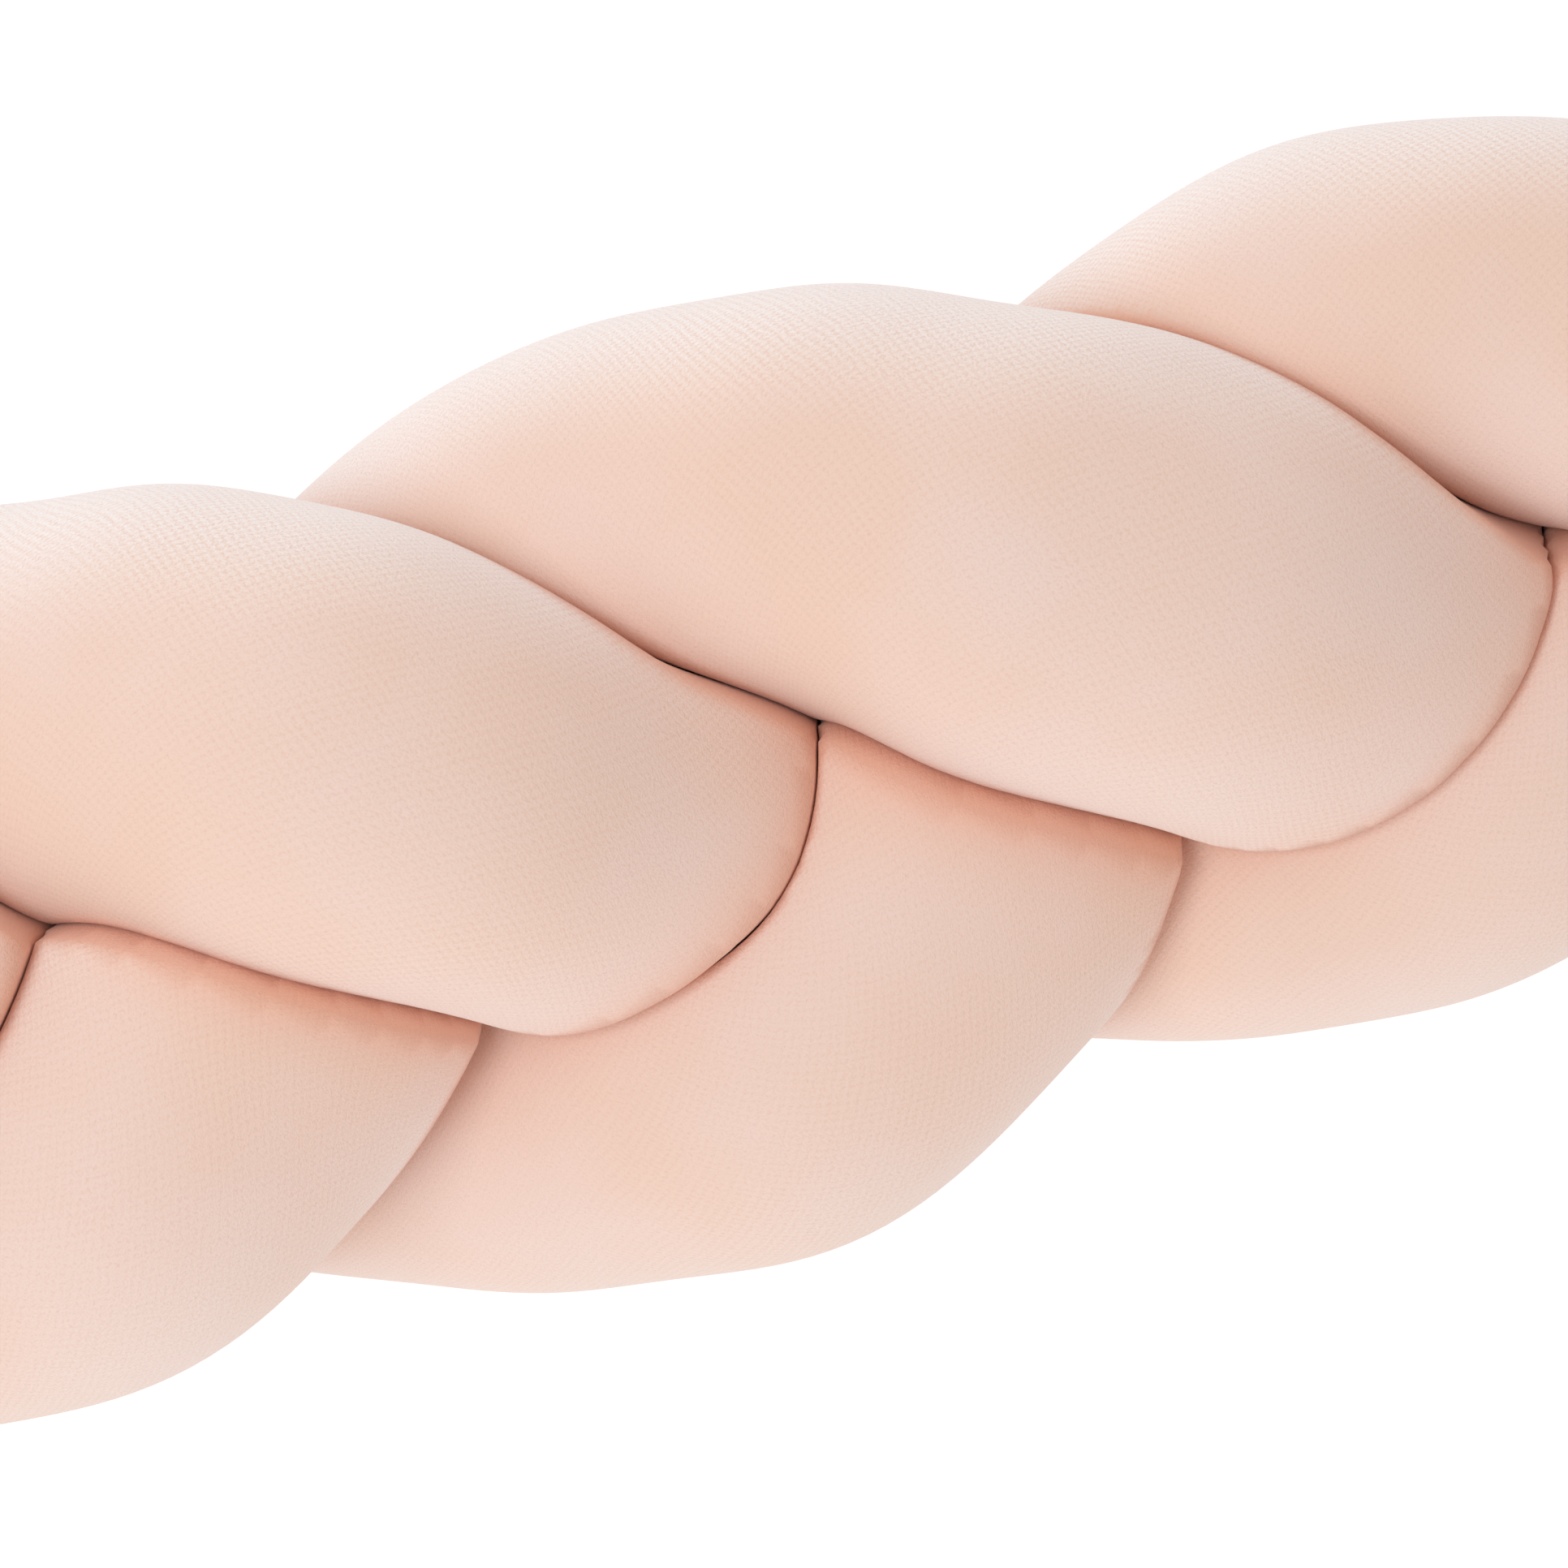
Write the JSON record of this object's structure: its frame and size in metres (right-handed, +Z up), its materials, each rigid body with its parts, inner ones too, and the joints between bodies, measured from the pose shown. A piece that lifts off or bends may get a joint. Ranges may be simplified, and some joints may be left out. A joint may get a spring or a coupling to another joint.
{
  "type": "braided crib bumper",
  "caption": "Plump flat braid of stuffed velvet tubes with rounded ends, which pads the inside of a cot's rails.",
  "frame": {"origin": "centre of the underside, on the surface that the bumper lies on", "axes": "+X along the bumper, +Y across its face towards the picture's upper edge, +Z up, out of its face"},
  "size_m": [1.2, 0.1636, 0.1165],
  "materials": {
    "velvet": "short-pile knit velvet, peach pink"
  },
  "bodies": {
    "root": {"strand_a": "velvet", "strand_b": "velvet", "strand_c": "velvet"}
  },
  "joints": []
}
